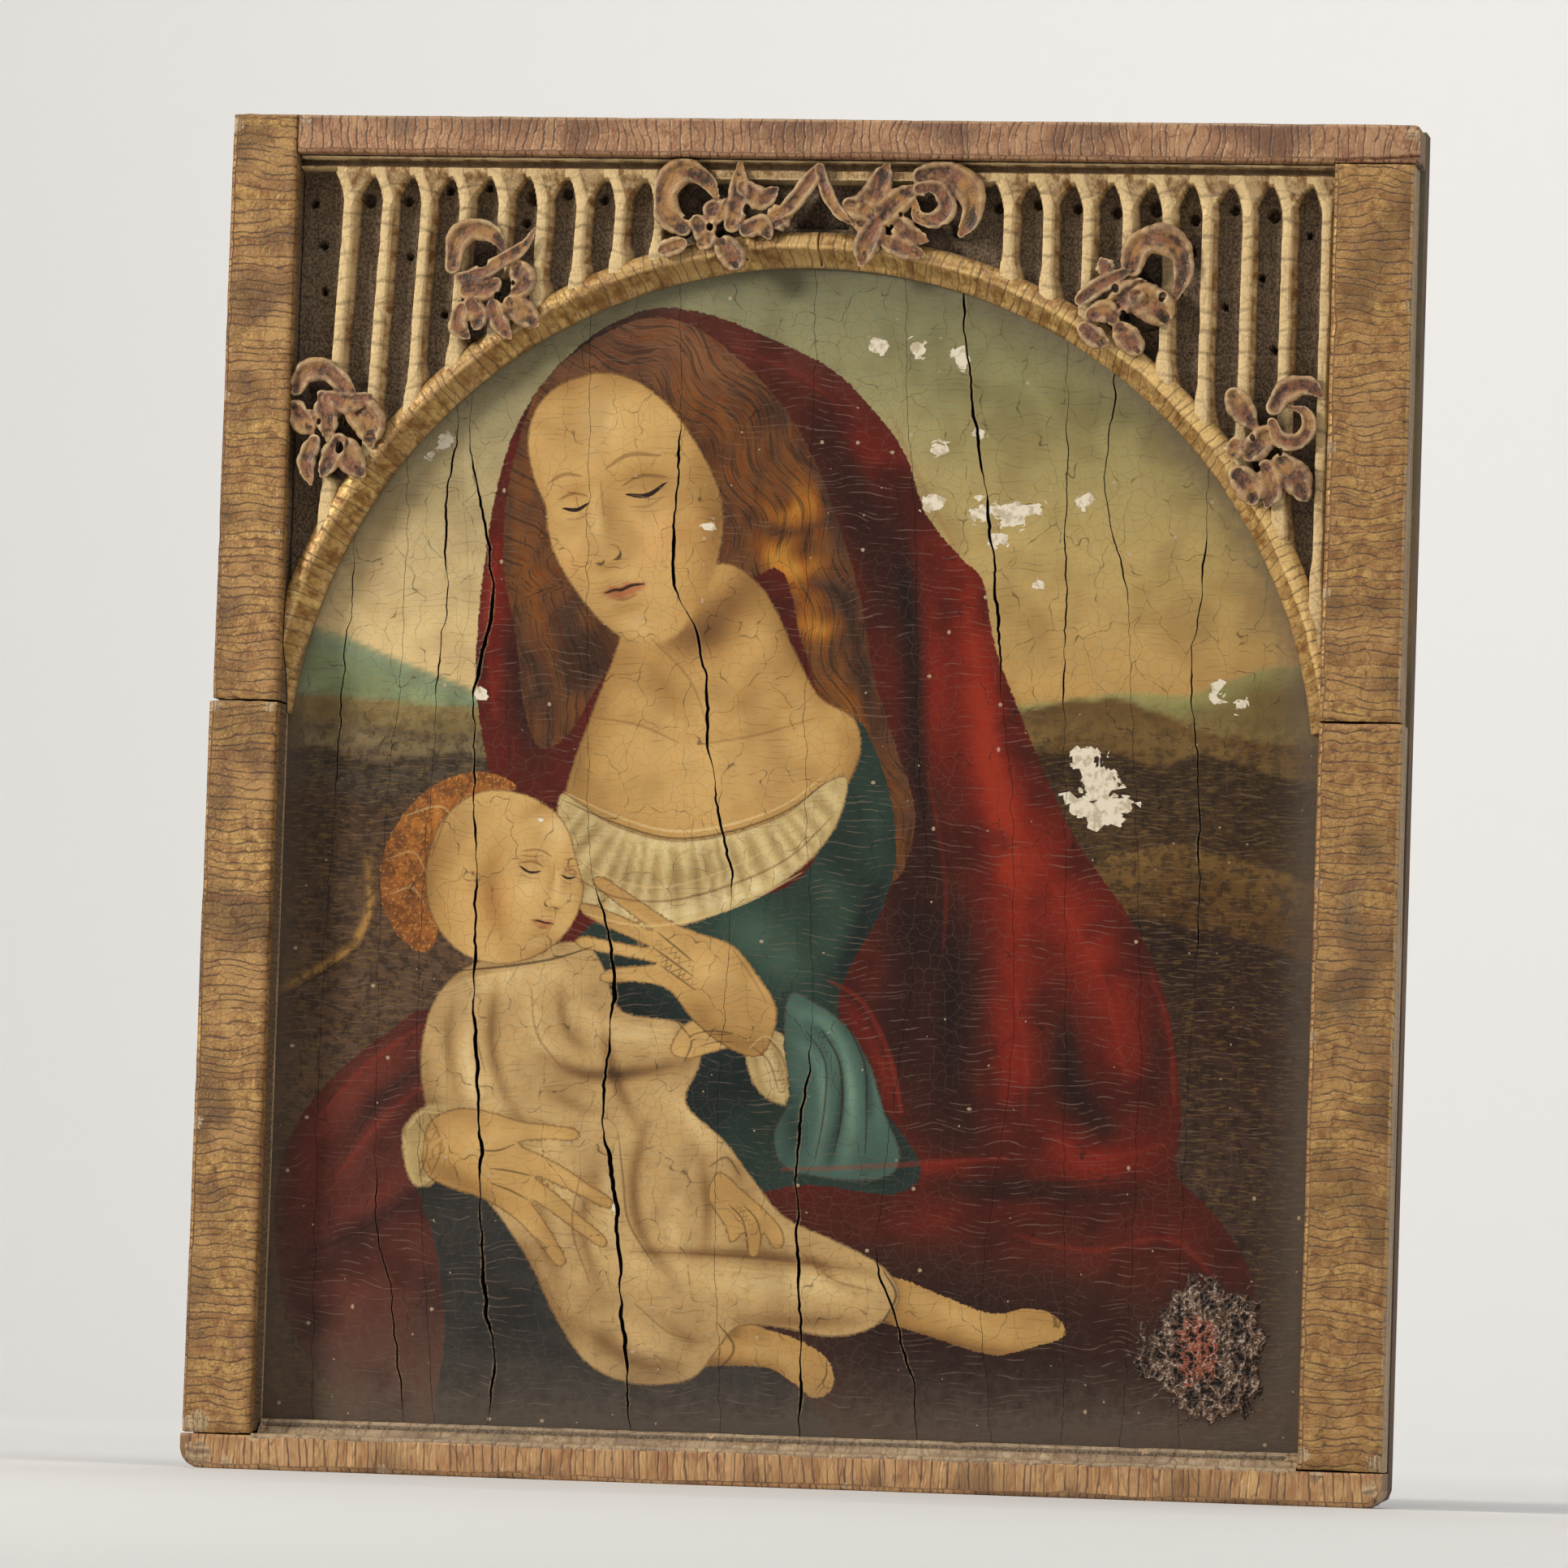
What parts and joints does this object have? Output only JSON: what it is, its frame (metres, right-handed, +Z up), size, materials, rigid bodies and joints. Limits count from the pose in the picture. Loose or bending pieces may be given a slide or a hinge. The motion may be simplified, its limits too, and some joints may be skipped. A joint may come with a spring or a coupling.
{
  "type": "panel painting",
  "caption": "Upright devotional panel painting: board in a gilded frame with a sloping sill and a round arch of carved lancet tracery with leaf crockets over the picture.",
  "frame": {"origin": "centre of the footprint of the flat bottom edge, on the surface the panel stands on", "axes": "+Z up, the painted front faces -Y, +X to the viewer's right"},
  "size_m": [0.336, 0.028, 0.38],
  "materials": {
    "painted_panel": "old oil and tempera paint on a ground over wood, cracked and varnished, bare wood at the back and sides",
    "gilded_frame": "water gilding over red-brown bole, rubbed, dusty and cracked across the members",
    "gilded_tracery": "carved and gilded wood with grey dust in the hollows",
    "nail": "dark rusted hand-made nail"
  },
  "bodies": {
    "root": {"painted_panel": "painted_panel", "top_rail": "gilded_frame", "bottom_rail": "gilded_frame", "left_stile_lower": "gilded_frame", "left_stile_upper": "gilded_frame", "right_stile_lower": "gilded_frame", "right_stile_upper": "gilded_frame", "arch_tracery": "gilded_tracery", "corner_nail": "nail"}
  },
  "joints": []
}
